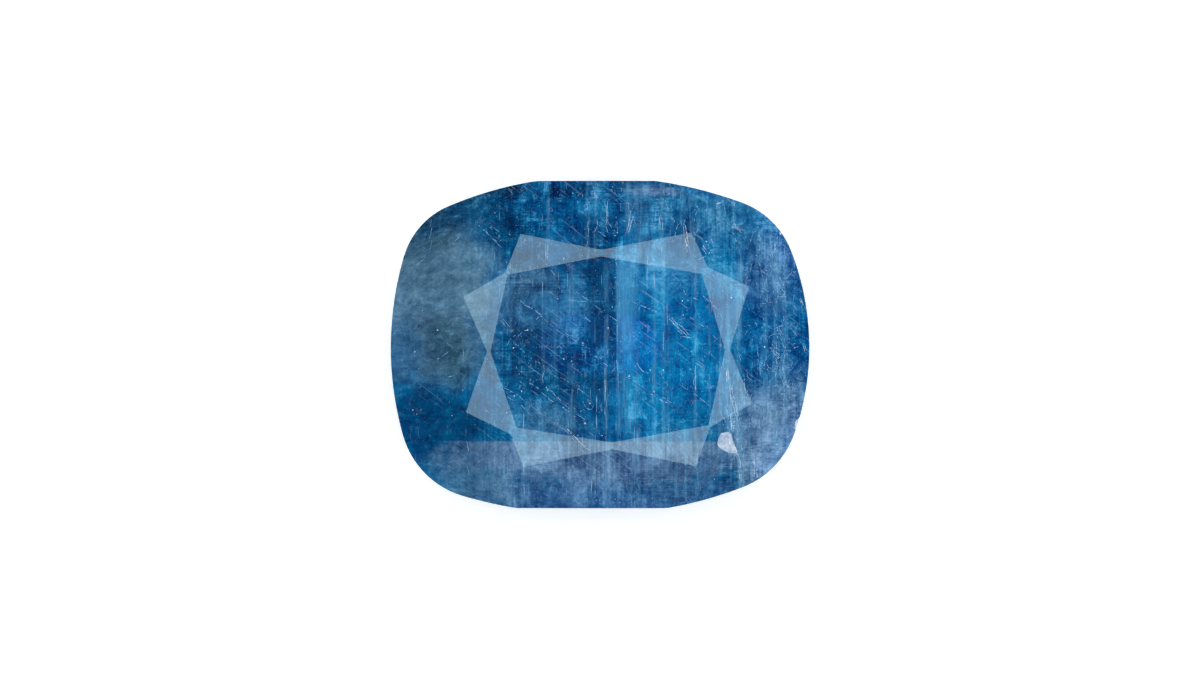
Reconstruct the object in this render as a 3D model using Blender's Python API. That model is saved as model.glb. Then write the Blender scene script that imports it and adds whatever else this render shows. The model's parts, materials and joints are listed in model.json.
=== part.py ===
"""A blue sapphire in a cushion mixed cut: brilliant crown above, stepped pavilion below.

The stone is one solid. It stands on its flat culet with the table up. X runs along its
length, Y across it, and the origin is under the middle of its outline.
"""

from math import atan2, ceil, cos, pi, radians, sin, sqrt, tau

import bmesh
import bpy
from mathutils import Vector

MM = 0.001

# Heights above the resting face
TABLE_HEIGHT = 5.75 * MM
STEP_HEIGHTS = (2.50 * MM, 1.10 * MM, 0.0)

# Outline of the girdle: four quarters about a centre that is a little off the middle
OUTLINE_CENTRE = Vector((-0.18, -0.09)) * MM
RIGHT_REACH = 6.16 * MM
LEFT_REACH = 5.80 * MM
BACK_REACH = 4.89 * MM
FRONT_REACH = 4.77 * MM
FLAT_HALF_WIDTH = 4.675 * MM

# Radii of each quarter: its side, its shoulder and its corner
BACK_RIGHT_RADII = (7.70 * MM, 12.47 * MM, 2.38 * MM)
BACK_LEFT_RADII = (9.48 * MM, 10.69 * MM, 2.22 * MM)
FRONT_LEFT_RADII = (9.24 * MM, 13.54 * MM, 2.49 * MM)
FRONT_RIGHT_RADII = (7.33 * MM, 12.05 * MM, 2.52 * MM)
OUTLINE_SPACING = 0.2 * MM

# Crown: the corners of the table, and the outer tip of the star facet after each corner
TABLE_CORNERS_MM = (
    (3.56, -0.15), (2.90, 2.01), (0.03, 2.51), (-2.63, 1.99),
    (-3.12, -0.19), (-2.38, -2.36), (0.34, -2.79), (3.09, -2.30),
)
STAR_TIPS_MM = (
    (4.24, 1.65), (2.60, 3.19), (-2.26, 3.15), (-3.89, 1.35),
    (-3.82, -1.93), (-2.19, -3.49), (2.73, -3.46), (4.33, -1.68),
)
# Length of the edge that two stars share, outward from each table corner
NECKS_MM = (0.14, 0.26, 0.19, 0.09, 0.10, 0.26, 0.20, 0.07)
STAR_ANGLE = radians(15.5)

# Girdle band, and the pavilion's steps as shares of the outline's length and width
GIRDLE_BAND = 0.34 * MM
STEP_SHARES = ((0.84, 0.81), (0.60, 0.53), (0.29, 0.18))
PAVILION_SIDES = 16

# A plane that passes a corner this closely goes through it
TOUCH = 0.002 * MM


def quarter_arcs(reach_x, reach_y, radii):
    """One quarter of the outline, from its X axis to its Y axis, as three tangent arcs."""
    side, shoulder, corner = radii
    side_centre = Vector((reach_x - side, 0.0))
    shoulder_centre = Vector((0.0, reach_y - shoulder))
    between = shoulder_centre - side_centre
    gap = between.length
    along = (gap ** 2 + (side - corner) ** 2 - (shoulder - corner) ** 2) / (2 * gap)
    aside = sqrt((side - corner) ** 2 - along ** 2)
    unit = between / gap
    corner_centre = side_centre + unit * along + Vector((-unit.y, unit.x)) * aside
    first = corner_centre - side_centre
    second = corner_centre - shoulder_centre
    first_turn = atan2(first.y, first.x)
    second_turn = atan2(second.y, second.x)
    arcs = (
        (side_centre, side, 0.0, first_turn),
        (corner_centre, corner, first_turn, second_turn),
        (shoulder_centre, shoulder, second_turn, pi / 2),
    )
    points = []
    for centre, radius, start, end in arcs:
        count = ceil(radius * (end - start) / OUTLINE_SPACING)
        for step in range(count):
            turn = start + (end - start) * step / count
            points.append(centre + Vector((cos(turn), sin(turn))) * radius)
    points.append(Vector((0.0, reach_y)))
    return points


def girdle_outline():
    """The whole outline, counterclockwise, with its long back and front sides ground flat."""
    back_right = quarter_arcs(RIGHT_REACH, BACK_REACH, BACK_RIGHT_RADII)
    back_left = quarter_arcs(LEFT_REACH, BACK_REACH, BACK_LEFT_RADII)
    front_left = quarter_arcs(LEFT_REACH, FRONT_REACH, FRONT_LEFT_RADII)
    front_right = quarter_arcs(RIGHT_REACH, FRONT_REACH, FRONT_RIGHT_RADII)
    points = list(back_right[:-1])
    points += [Vector((-p.x, p.y)) for p in reversed(back_left[1:])]
    points += [Vector((-p.x, -p.y)) for p in front_left[:-1]]
    points += [Vector((p.x, -p.y)) for p in reversed(front_right[1:])]
    outline = []
    for point in points:
        moved = point + OUTLINE_CENTRE
        moved.y = max(-FLAT_HALF_WIDTH, min(FLAT_HALF_WIDTH, moved.y))
        outline.append(moved)
    return outline


def outline_hit(outline, start, direction):
    """The point where a ray from inside the outline crosses it."""
    for index, first in enumerate(outline):
        edge = outline[(index + 1) % len(outline)] - first
        turn = direction.x * edge.y - direction.y * edge.x
        if abs(turn) < 1e-12:
            continue
        offset = first - start
        along_ray = (offset.x * edge.y - offset.y * edge.x) / turn
        along_edge = (offset.x * direction.y - offset.y * direction.x) / turn
        if along_ray > 0 and 0 <= along_edge <= 1:
            return start + direction * along_ray
    raise ValueError("the ray misses the outline")


class Facet:
    """A flat cut: a point on it and its normal, which points out of the stone."""

    def __init__(self, point, normal):
        self.point = point
        self.normal = normal.normalized()

    @classmethod
    def through(cls, first, second, third):
        normal = (second - first).cross(third - first)
        if normal.z < 0:
            normal.negate()
        return cls(first, normal)

    def height(self, spot):
        """Height of the facet's plane over a point of the plan."""
        offset = (spot.x - self.point.x) * self.normal.x + (spot.y - self.point.y) * self.normal.y
        return self.point.z - offset / self.normal.z

    def over(self, spot):
        return Vector((spot.x, spot.y, self.height(spot)))


def crown_facets(outline):
    """The table, eight stars, eight mains and sixteen breaks."""
    corners = [Vector((x * MM, y * MM, TABLE_HEIGHT)) for x, y in TABLE_CORNERS_MM]
    tips = [Vector((x * MM, y * MM)) for x, y in STAR_TIPS_MM]
    table = Facet(corners[0], Vector((0, 0, 1)))

    stars = []
    for index, corner in enumerate(corners):
        edge = corners[(index + 1) % 8] - corner
        outward = Vector((edge.y, -edge.x)).normalized()
        tilt = Vector((outward.x * sin(STAR_ANGLE), outward.y * sin(STAR_ANGLE), cos(STAR_ANGLE)))
        stars.append(Facet(corner, tilt))
    star_tips = [star.over(tip) for star, tip in zip(stars, tips)]

    mains = []
    main_feet = []
    for index, corner in enumerate(corners):
        before, after = stars[index - 1], stars[index]
        ridge = before.normal.cross(after.normal)
        if ridge.z > 0:
            ridge.negate()
        neck = corner + ridge.normalized() * NECKS_MM[index] * MM
        main = Facet.through(star_tips[index - 1], star_tips[index], neck)
        middle = (star_tips[index - 1] + star_tips[index]).xy / 2
        foot = outline_hit(outline, middle, main.normal.xy.normalized())
        mains.append(main)
        main_feet.append(main.over(foot))

    breaks = []
    for index, tip in enumerate(star_tips):
        before, after = main_feet[index], main_feet[(index + 1) % 8]
        spot = outline_hit(outline, tip.xy, stars[index].normal.xy.normalized())
        foot = Vector((spot.x, spot.y, (before.z + after.z) / 2))
        breaks.append(Facet.through(tip, before, foot))
        breaks.append(Facet.through(tip, after, foot))
    return [table] + stars + mains + breaks


def pavilion_facets(outline, crown):
    """Three steps of facets, from the girdle down to the culet."""
    facets = []
    for side in range(PAVILION_SIDES):
        turn = tau * side / PAVILION_SIDES
        outward = Vector((cos(turn), sin(turn)))
        support = max(outline, key=lambda point: point.dot(outward))
        edge_height = min(facet.height(support) for facet in crown) - GIRDLE_BAND
        upper = (support.dot(outward), edge_height)
        for share, height in zip(STEP_SHARES, STEP_HEIGHTS):
            scaled = max(p.x * share[0] * cos(turn) + p.y * share[1] * sin(turn) for p in outline)
            lower = (scaled, height)
            fall, run = upper[1] - lower[1], upper[0] - lower[0]
            point = Vector((outward.x * upper[0], outward.y * upper[0], upper[1]))
            facets.append(Facet(point, Vector((outward.x * fall, outward.y * fall, -run))))
            upper = lower
    return facets


def blank(bm, outline):
    """The rough blank: a straight-sided block of the girdle's outline."""
    ring = [bm.verts.new((point.x, point.y, 0.0)) for point in outline]
    base = bm.faces.new(ring)
    raised = bmesh.ops.extrude_face_region(bm, geom=[base])
    top = [item for item in raised["geom"] if isinstance(item, bmesh.types.BMVert)]
    bmesh.ops.translate(bm, verts=top, vec=(0, 0, TABLE_HEIGHT))
    bmesh.ops.remove_doubles(bm, verts=bm.verts[:], dist=TOUCH)
    bmesh.ops.recalc_face_normals(bm, faces=bm.faces[:])


def grind(bm, facet):
    """Take off all that lies beyond one facet, and close the cut with a flat face."""
    parts = bm.verts[:] + bm.edges[:] + bm.faces[:]
    bmesh.ops.bisect_plane(bm, geom=parts, dist=TOUCH, plane_co=facet.point,
                           plane_no=facet.normal, clear_outer=True)
    rim = [edge for edge in bm.edges if edge.is_boundary]
    if rim:
        bmesh.ops.holes_fill(bm, edges=rim, sides=0)


def sapphire_material():
    material = bpy.data.materials.new("blue_sapphire")
    material.use_nodes = True
    shader = material.node_tree.nodes["Principled BSDF"]
    shader.inputs["Base Color"].default_value = (0.02, 0.12, 0.34, 1.0)
    shader.inputs["Roughness"].default_value = 0.06
    shader.inputs["Metallic"].default_value = 0.0
    shader.inputs["IOR"].default_value = 1.768
    return material


def sapphire():
    outline = girdle_outline()
    crown = crown_facets(outline)
    bm = bmesh.new()
    blank(bm, outline)
    for facet in crown[1:] + pavilion_facets(outline, crown):
        grind(bm, facet)
    bmesh.ops.remove_doubles(bm, verts=bm.verts[:], dist=TOUCH)
    bmesh.ops.dissolve_degenerate(bm, edges=bm.edges[:], dist=TOUCH)
    bmesh.ops.recalc_face_normals(bm, faces=bm.faces[:])
    mesh = bpy.data.meshes.new("sapphire")
    bm.to_mesh(mesh)
    bm.free()
    mesh.materials.append(sapphire_material())
    stone = bpy.data.objects.new("sapphire", mesh)
    bpy.context.collection.objects.link(stone)
    return stone


for leftover in list(bpy.data.objects):
    bpy.data.objects.remove(leftover, do_unlink=True)
sapphire()
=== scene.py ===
# %% [markdown]
# Blue sapphire, cushion mixed cut
# The stone is one piece of blue corundum. Its crown is a brilliant cut, its pavilion is cut in
# steps, and it stands on a small flat culet. It is translucent rather than clear: the crystal is
# full of growth bands, silk, needles and tiny grains. The cut comes from the CAD frame. This
# lesson refines its edges, puts the inclusions in as meshes, and paints the crystal in depth.

# %% Frame and units
import json
import random
from math import atan2, cos, pi, radians, sin, tau

import bpy
from mathutils import Matrix, Vector

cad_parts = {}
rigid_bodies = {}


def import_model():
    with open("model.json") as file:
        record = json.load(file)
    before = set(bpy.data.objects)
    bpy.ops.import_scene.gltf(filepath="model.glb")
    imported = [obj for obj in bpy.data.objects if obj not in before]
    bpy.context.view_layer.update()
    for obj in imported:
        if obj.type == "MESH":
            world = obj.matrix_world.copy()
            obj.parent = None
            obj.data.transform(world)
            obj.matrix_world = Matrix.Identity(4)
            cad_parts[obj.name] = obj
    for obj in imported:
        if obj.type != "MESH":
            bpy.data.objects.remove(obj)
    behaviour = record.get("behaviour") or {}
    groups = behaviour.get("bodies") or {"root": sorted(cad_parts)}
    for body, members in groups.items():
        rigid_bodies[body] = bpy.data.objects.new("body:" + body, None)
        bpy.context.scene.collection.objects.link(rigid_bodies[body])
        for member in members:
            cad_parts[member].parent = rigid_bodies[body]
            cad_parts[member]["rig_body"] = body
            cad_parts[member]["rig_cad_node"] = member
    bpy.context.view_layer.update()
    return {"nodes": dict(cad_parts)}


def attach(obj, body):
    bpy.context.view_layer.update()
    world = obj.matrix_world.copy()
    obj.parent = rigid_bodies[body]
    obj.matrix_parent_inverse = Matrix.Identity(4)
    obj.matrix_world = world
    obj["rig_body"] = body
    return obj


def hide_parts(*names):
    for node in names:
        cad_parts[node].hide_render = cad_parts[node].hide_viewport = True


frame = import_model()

MM = 0.001
BODY = "root"
STONE_NODE = "sapphire"

# %% [markdown]
# Handling objects
# Each operator works on what is selected and on the active object. Two small helpers put down
# everything that is held and take up one object, so that no step touches the wrong piece. A
# third one finishes a piece: its place goes into its mesh, it gets its material, and it rides
# on the frame's only body.


# %% Helpers for handling objects
def put_down():
    if bpy.context.object is not None and bpy.context.object.mode != "OBJECT":
        bpy.ops.object.mode_set(mode="OBJECT")
    bpy.ops.object.select_all(action="DESELECT")


def take(*objects):
    put_down()
    for piece in objects:
        piece.select_set(True)
    bpy.context.view_layer.objects.active = objects[0]


def finish_piece(piece, name, material=None):
    take(piece)
    bpy.ops.object.transform_apply(location=True, rotation=True, scale=True)
    piece.name = name
    piece.data.name = name
    if material is not None:
        piece.data.materials.clear()
        piece.data.materials.append(material)
    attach(piece, BODY)
    print(name, "has", len(piece.data.polygons), "faces")
    return piece


# %% [markdown]
# The cut stone
# A lapidary grinds each facet flat and polishes it, and the edge between two facets is never
# a perfect line: under a loupe it is a narrow rounded strip. The CAD solid is copied, its loose
# triangles are merged back into whole facets, and a tiny bevel gives those strips. The girdle,
# the band round the widest part, is left ground and not polished.

# %% Copy the frame's stone and merge it into whole facets
MERGE_DISTANCE = 0.001 * MM
FLAT_ANGLE = radians(0.15)
FACET_EDGE_ANGLE = radians(6.5)
EDGE_WIDTH = 0.008 * MM

put_down()
cad_stone = frame["nodes"][STONE_NODE]
take(cad_stone)
bpy.ops.object.duplicate()
stone = bpy.context.object
bpy.ops.object.parent_clear(type="CLEAR_KEEP_TRANSFORM")
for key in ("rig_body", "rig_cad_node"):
    del stone[key]
bpy.ops.object.mode_set(mode="EDIT")
bpy.ops.mesh.select_all(action="SELECT")
bpy.ops.mesh.remove_doubles(threshold=MERGE_DISTANCE)
bpy.ops.mesh.dissolve_limited(angle_limit=FLAT_ANGLE)
bpy.ops.mesh.normals_make_consistent(inside=False)
bpy.ops.object.mode_set(mode="OBJECT")
print("whole facets:", len(stone.data.polygons))

# %% Round the facet edges by a hair
edge_round = stone.modifiers.new("edge_round", "BEVEL")
edge_round.width = EDGE_WIDTH
edge_round.segments = 1
edge_round.limit_method = "ANGLE"
edge_round.angle_limit = FACET_EDGE_ANGLE
take(stone)
bpy.ops.object.modifier_apply(modifier="edge_round")
print("faces with edges rounded:", len(stone.data.polygons))

# %% [markdown]
# Chips on the girdle
# The girdle is thin and brittle, and old stones have small shell-shaped chips there. A chip is
# what is left when a ball-like flake has gone, so small rough balls are set on the girdle and
# taken away from the stone with a Boolean. The new faces keep the ball's own material slot.

# %% Balls that cut the chips
CHIP_SEED = 3
CHIP_ROUGHNESS = 0.3
CHIP_STRETCH = (0.6, 1.1, 1.5)
# Each chip: place of its ball x, y, z; radius
CHIPS_MM = (
    (5.7, -2.26, 4.42, 0.22), (5.16, 3.18, 4.35, 0.075), (-5.66, 2.12, 4.05, 0.07),
    (-5.93, -1.3, 4.35, 0.06), (2.62, -4.78, 4.4, 0.06), (-3.9, 4.19, 4.05, 0.08),
    (5.99, 0.6, 4.25, 0.06), (-0.8, 4.79, 4.45, 0.05),
)


def chip_cutter():
    balls = []
    for x, y, z, radius in CHIPS_MM:
        put_down()
        bpy.ops.mesh.primitive_ico_sphere_add(
            subdivisions=2, radius=radius * MM, location=(x * MM, y * MM, z * MM),
            scale=CHIP_STRETCH, rotation=(0, 0, atan2(y, x)))
        bpy.ops.object.transform_apply(location=False, rotation=True, scale=True)
        bpy.ops.object.mode_set(mode="EDIT")
        bpy.ops.mesh.select_all(action="SELECT")
        bpy.ops.transform.vertex_random(
            offset=CHIP_ROUGHNESS * radius * MM, seed=CHIP_SEED + len(balls))
        bpy.ops.object.mode_set(mode="OBJECT")
        balls.append(bpy.context.object)
    take(*balls)
    bpy.ops.object.join()
    return bpy.context.object


chips = chip_cutter()
print("chip cutters:", len(CHIPS_MM), "with", len(chips.data.polygons), "faces")

# %% [markdown]
# Painting with nodes
# The colour of a crystal isn't on its skin: it grows through it. So all patterns here read the
# Object coordinates, turned into millimetres, and each one goes through the stone from side to
# side. The Brush class below adds nodes by the job that each does: a noise stretched along one
# direction gives fibres, a soft-edged patch gives a growth zone, and a blend lays one colour
# over another.


# %% A brush for node materials
# Half the depth of a patch in plan, in mm: far more than the stone has
RIGHT_THROUGH = 1000.0


class Brush:
    def __init__(self, tree):
        self.tree = tree
        tree.nodes.clear()

    def put(self, kind, inputs, out=0, **settings):
        node = self.tree.nodes.new("ShaderNode" + kind)
        for name, value in settings.items():
            setattr(node, name, value)
        for socket, value in inputs.items():
            if isinstance(value, bpy.types.NodeSocket):
                self.tree.links.new(value, node.inputs[socket])
            else:
                node.inputs[socket].default_value = value
        return node.outputs[out]

    def place_mm(self):
        """Object coordinates in millimetres."""
        place = self.put("TexCoord", {}, out="Object")
        return self.put("VectorMath", {0: place, 3: 1 / MM}, operation="SCALE")

    def parts(self, vector):
        return self.put("SeparateXYZ", {0: vector}).node.outputs

    def most(self, first, second):
        return self.put("Math", {0: first, 1: second}, operation="MAXIMUM")

    def plus(self, first, second):
        return self.put("Math", {0: first, 1: second}, operation="ADD")

    def times(self, first, second):
        return self.put("Math", {0: first, 1: second}, operation="MULTIPLY")

    def rise(self, value, low, high, top=1.0):
        """Goes smoothly from nothing at low to top at high."""
        return self.put("MapRange", {0: value, 1: low, 2: high, 3: 0.0, 4: top},
                        interpolation_type="SMOOTHSTEP")

    def fall(self, value, low, high, top=1.0):
        """Goes smoothly from top at low to nothing at high."""
        return self.put("MapRange", {0: value, 1: low, 2: high, 3: top, 4: 0.0},
                        interpolation_type="SMOOTHSTEP")

    def turned(self, place, degrees):
        return self.put("Mapping", {"Vector": place, "Rotation": (0, 0, radians(degrees))})

    def noise(self, place, per_mm, detail=4.0, rough=0.55, shift=0.0, twist=0.0):
        """Noise with so many waves per millimetre along x, y and z, from 0 to 1."""
        stretched = self.put("Mapping", {
            "Vector": place, "Location": (shift, shift, shift), "Scale": per_mm})
        return self.put("TexNoise", {
            "Vector": stretched, "Scale": 1.0, "Detail": detail, "Roughness": rough,
            "Distortion": twist})

    def patch(self, place, centre, half, turn=0.0, soft=0.3, boxy=False, ragged=None, top=1.0):
        """A soft-edged ellipse or box, in plan, that goes right through the stone."""
        local = self.put("Mapping", {
            "Vector": place, "Location": (centre[0], centre[1], 0.0),
            "Rotation": (0, 0, radians(turn)), "Scale": (half[0], half[1], RIGHT_THROUGH)},
            vector_type="TEXTURE")
        if boxy:
            folded = self.put("VectorMath", {0: local}, operation="ABSOLUTE")
            parts = self.parts(folded)
            reach = self.most(parts[0], parts[1])
        else:
            reach = self.put("VectorMath", {0: local}, out="Value", operation="LENGTH")
        if ragged is not None:
            reach = self.plus(reach, ragged)
        return self.fall(reach, 1 - soft, 1 + soft, top)

    def blend(self, share, under, over):
        """Lays the colour over on the colour under; a plain colour has three numbers."""
        under, over = (c + (1.0,) if isinstance(c, tuple) else c for c in (under, over))
        return self.put("Mix", {0: share, 6: under, 7: over}, out=2, data_type="RGBA")

    def surface(self, shader, volume=None):
        end = self.tree.nodes.new("ShaderNodeOutputMaterial")
        self.tree.links.new(shader, end.inputs["Surface"])
        if volume is not None:
            self.tree.links.new(volume, end.inputs["Volume"])


def new_material(name):
    material = bpy.data.materials.new(name)
    material.use_nodes = True
    return material, Brush(material.node_tree)


print("brush ready")

# %% [markdown]
# The crystal's growth zones
# Corundum takes up colour unevenly while it grows. This stone has a milky grey-blue left end,
# a deep blue lower left, a dark left half and a bright right half under the table, a straight
# line between them, a lavender band along the front and pale fibres across its width. Each
# zone is one row in a table, with its place in millimetres from the middle of the stone.

# %% Colours of the crystal
NIGHT = (0.004, 0.055, 0.145)
NAVY = (0.0003, 0.071, 0.200)
DEEP = (0.0003, 0.106, 0.300)
ROYAL = (0.0015, 0.153, 0.375)
BRIGHT = (0.001, 0.228, 0.545)
MIST = (0.040, 0.255, 0.53)
FOG = (0.125, 0.275, 0.42)
SLATE = (0.084, 0.187, 0.296)
INK = (0.016, 0.070, 0.122)
MILK = (0.18, 0.48, 0.86)
LAVENDER = (0.20, 0.34, 0.56)
ROSE_GREY = (0.130, 0.238, 0.425)
PALE_RIM = (0.34, 0.56, 0.86)
SILK = (0.50, 0.72, 0.98)
VEIL = (0.17, 0.46, 0.72)
SOFT_GREY = (0.085, 0.20, 0.42)
HAZE = (0.085, 0.25, 0.52)
IRIS = (0.001, 0.115, 0.36)

# Each zone: centre x, y; half size x, y; turn in degrees; softness; boxy; colour; strength
ZONES = (
    # table, left half and right half
    (-1.2, 0.1, 2.3, 2.6, 0, 0.45, False, DEEP, 0.85),
    (2.05, 0.1, 1.75, 2.3, 0, 0.4, True, BRIGHT, 0.6),
    (-1.3, -0.6, 1.9, 1.2, -15, 0.5, False, NAVY, 0.95),
    (-0.15, 1.0, 0.55, 1.6, 0, 0.45, False, NAVY, 0.75),
    (0.06, 0.2, 0.34, 0.45, 0, 0.5, True, NIGHT, 0.6),
    (-2.1, 1.4, 1.0, 0.9, 20, 0.6, False, SLATE, 0.55),
    (-0.95, 1.05, 0.8, 0.8, 10, 0.7, False, MIST, 0.35),
    (-1.65, 0.95, 0.95, 0.3, 12, 0.6, False, MIST, 0.42),
    (-0.8, 1.35, 0.3, 0.7, 0, 0.4, True, MIST, 0.42),
    (1.9, 2.0, 1.3, 0.6, -8, 0.6, False, MIST, 0.5),
    (3.3, 0.9, 0.55, 0.8, 0, 0.7, False, BRIGHT, 0.6),
    (0.6, -2.1, 2.6, 0.8, 0, 0.55, False, ROYAL, 0.5),
    (-1.4, -2.3, 1.2, 0.45, -12, 0.6, False, SLATE, 0.35),
    (-0.3, -2.52, 1.0, 0.16, 0, 0.3, True, DEEP, 0.8),
    # left end
    (-4.9, 1.8, 1.6, 2.3, 0, 0.4, False, SLATE, 0.95),
    (-4.5, 2.5, 1.1, 0.8, 0, 0.6, False, FOG, 0.25),
    (-4.95, 3.05, 0.7, 0.55, 30, 0.6, False, INK, 0.45),
    (-4.7, 1.28, 1.35, 0.34, 2, 0.4, True, FOG, 0.7),
    (-3.6, 2.35, 0.6, 0.6, 0, 0.6, False, FOG, 0.5),
    (-4.6, -0.2, 1.3, 1.0, 0, 0.5, False, SLATE, 0.8),
    (-4.42, 0.05, 0.5, 0.65, 0, 0.6, False, INK, 0.75),
    (-4.1, -0.85, 0.4, 0.55, 10, 0.6, False, INK, 0.6),
    (-5.55, -0.1, 0.45, 0.8, 0, 0.6, False, DEEP, 0.4),
    (-4.7, -2.35, 1.6, 1.15, -12, 0.4, False, NAVY, 0.9),
    # back
    (-3.9, 4.0, 1.9, 0.6, 24, 0.45, False, NIGHT, 0.9),
    (-2.95, 3.4, 1.0, 0.7, -20, 0.6, False, NAVY, 0.8),
    (-1.1, 3.8, 1.1, 0.9, 0, 0.6, False, DEEP, 0.65),
    (0.0, 3.05, 0.42, 0.6, 0, 0.4, True, NAVY, 0.55),
    (0.3, 4.55, 1.8, 0.22, 0, 0.5, True, NAVY, 0.75),
    (1.9, 3.8, 1.6, 0.8, -6, 0.6, False, MIST, 0.3),
    (3.7, 3.6, 1.1, 0.9, -30, 0.6, False, MIST, 0.72),
    (1.5, 4.35, 0.65, 0.16, 0, 0.6, False, LAVENDER, 0.6),
    (3.4, 2.6, 0.55, 0.55, 0, 0.6, False, BRIGHT, 0.4),
    # right end
    (4.9, 0.8, 1.0, 2.3, 0, 0.4, False, IRIS, 0.8),
    (4.95, 2.1, 0.8, 1.0, 0, 0.6, False, HAZE, 0.75),
    (5.6, 1.0, 0.4, 1.2, 0, 0.5, False, DEEP, 0.6),
    (5.05, -0.8, 0.55, 0.9, 0, 0.7, False, MIST, 0.45),
    (4.3, -1.6, 0.45, 0.8, 0, 0.6, False, DEEP, 0.4),
    (4.9, -2.7, 1.15, 1.3, 20, 0.5, False, LAVENDER, 0.75),
    (5.45, -2.1, 0.5, 1.2, 0, 0.6, False, LAVENDER, 0.5),
    (4.6, -3.7, 1.0, 0.5, 30, 0.6, False, FOG, 0.6),
    (4.95, -3.15, 0.65, 0.9, -30, 0.6, False, PALE_RIM, 0.85),
    (3.75, -3.95, 0.28, 0.35, 0, 0.6, False, DEEP, 0.7),
    # front
    (-0.1, -4.35, 3.6, 0.42, 0, 0.35, True, SOFT_GREY, 0.6),
    (-3.6, -3.9, 1.2, 0.6, -25, 0.6, False, FOG, 0.5),
)
print("growth zones:", len(ZONES))


# %% Places that the patterns read
DRIFT_PER_MM = 1.1
DRIFT_MM = 0.8
# The left end is calm: patterns grow to full strength between two places along the length
CALM_SHARE = 0.4
CALM_X = (-4.4, -2.2)


def survey(brush):
    """Straight places, places that drift a little, and how busy the crystal is there."""
    straight = brush.place_mm()
    waves = brush.put("TexNoise", {"Vector": straight, "Scale": DRIFT_PER_MM, "Detail": 5.0},
                      out="Color")
    drift = brush.put("VectorMath", {0: waves, 1: (0.5,) * 3}, operation="SUBTRACT")
    drifting = brush.put("VectorMath", {0: drift, 1: (DRIFT_MM,) * 3, 2: straight},
                         operation="MULTIPLY_ADD")
    parts = brush.parts(straight)
    along = brush.parts(drifting)[0]
    busy = brush.plus(brush.rise(along, *CALM_X, 1 - CALM_SHARE), CALM_SHARE)
    return {"straight": straight, "drifting": drifting, "x": parts[0], "y": parts[1],
            "along": along, "busy": busy}


print("calm from the left end to", CALM_X[0], "mm")


# %% Zones with ragged edges, and the straight lines between them
# Noises: waves per millimetre along x, y and z; detail; roughness; shift
GROUND_NOISE = ((0.8, 0.6, 0.4), 4.0)
FRINGE_NOISE = ((2.8, 1.8, 0.8), 6.0, 0.68, 4.0)
FRINGE_GAIN = 1.1
# The straight line between the dark and the bright half, its step, and the line along the front
MIDDLE_LINE_X = 0.47
MIDDLE_STEP_X = 0.22
MIDDLE_STEP_Y = -0.95
STEP_BLUR = 0.1
FRONT_LINE_Y = -2.76
LINE_BLUR = 0.03
# Beside each line: centre x, y; half size x, y; softness; colour; strength
LEFT_OF_LINE = ((0.40, 0.75), (0.75, 1.75), 0.45, NAVY, 0.60)
RIGHT_OF_LINE = ((1.1, -0.2), (1.6, 2.9), 0.5, BRIGHT, 0.35)
FRONT_OF_LINE = ((0.10, -3.05), (4.1, 0.95), 0.28, ROSE_GREY, 0.85)


def bright_half(brush, here):
    """Nothing on the dark side of the middle line, one on the bright side."""
    step = brush.fall(here["y"], MIDDLE_STEP_Y - STEP_BLUR, MIDDLE_STEP_Y + STEP_BLUR,
                      MIDDLE_STEP_X)
    return brush.rise(brush.plus(here["x"], step), MIDDLE_LINE_X - LINE_BLUR,
                      MIDDLE_LINE_X + LINE_BLUR)


def zone_colour(brush, here, right_half):
    fringe = brush.times(brush.plus(brush.noise(here["straight"], *FRINGE_NOISE), -0.5),
                         FRINGE_GAIN)
    ground = brush.rise(brush.noise(here["drifting"], *GROUND_NOISE), 0.35, 0.65)
    colour = brush.blend(ground, DEEP, ROYAL)
    for x, y, wide, deep, turn, soft, boxy, tint, strength in ZONES:
        mask = brush.patch(here["drifting"], (x, y), (wide, deep), turn, soft, boxy, fringe,
                           strength)
        colour = brush.blend(mask, colour, tint)
    left_half = brush.put("Math", {0: 1.0, 1: right_half}, operation="SUBTRACT")
    front = brush.fall(here["y"], FRONT_LINE_Y - LINE_BLUR, FRONT_LINE_Y + LINE_BLUR)
    for side, where, ragged, (centre, half, soft, tint, strength) in (
            (left_half, "straight", None, LEFT_OF_LINE),
            (right_half, "straight", None, RIGHT_OF_LINE),
            (front, "drifting", fringe, FRONT_OF_LINE)):
        mask = brush.times(side, brush.patch(here[where], centre, half, soft=soft, ragged=ragged))
        colour = brush.blend(brush.times(mask, strength), colour, tint)
    return colour


print("middle line at", MIDDLE_LINE_X, "mm, front line at", FRONT_LINE_Y, "mm")

# %% [markdown]
# Milk in the crystal
# Fine silk makes the blue milky. It lies in fibres across the stone's width, in hatching along
# its length, in clouds, and in streaks at the calm left end. Each kind is a sum of noises, and
# fibres and hatching come in flocks. The sum is a number of stops, as on a camera: above the
# middle the colour gets lighter and paler, and below it darker and deeper.

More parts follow.
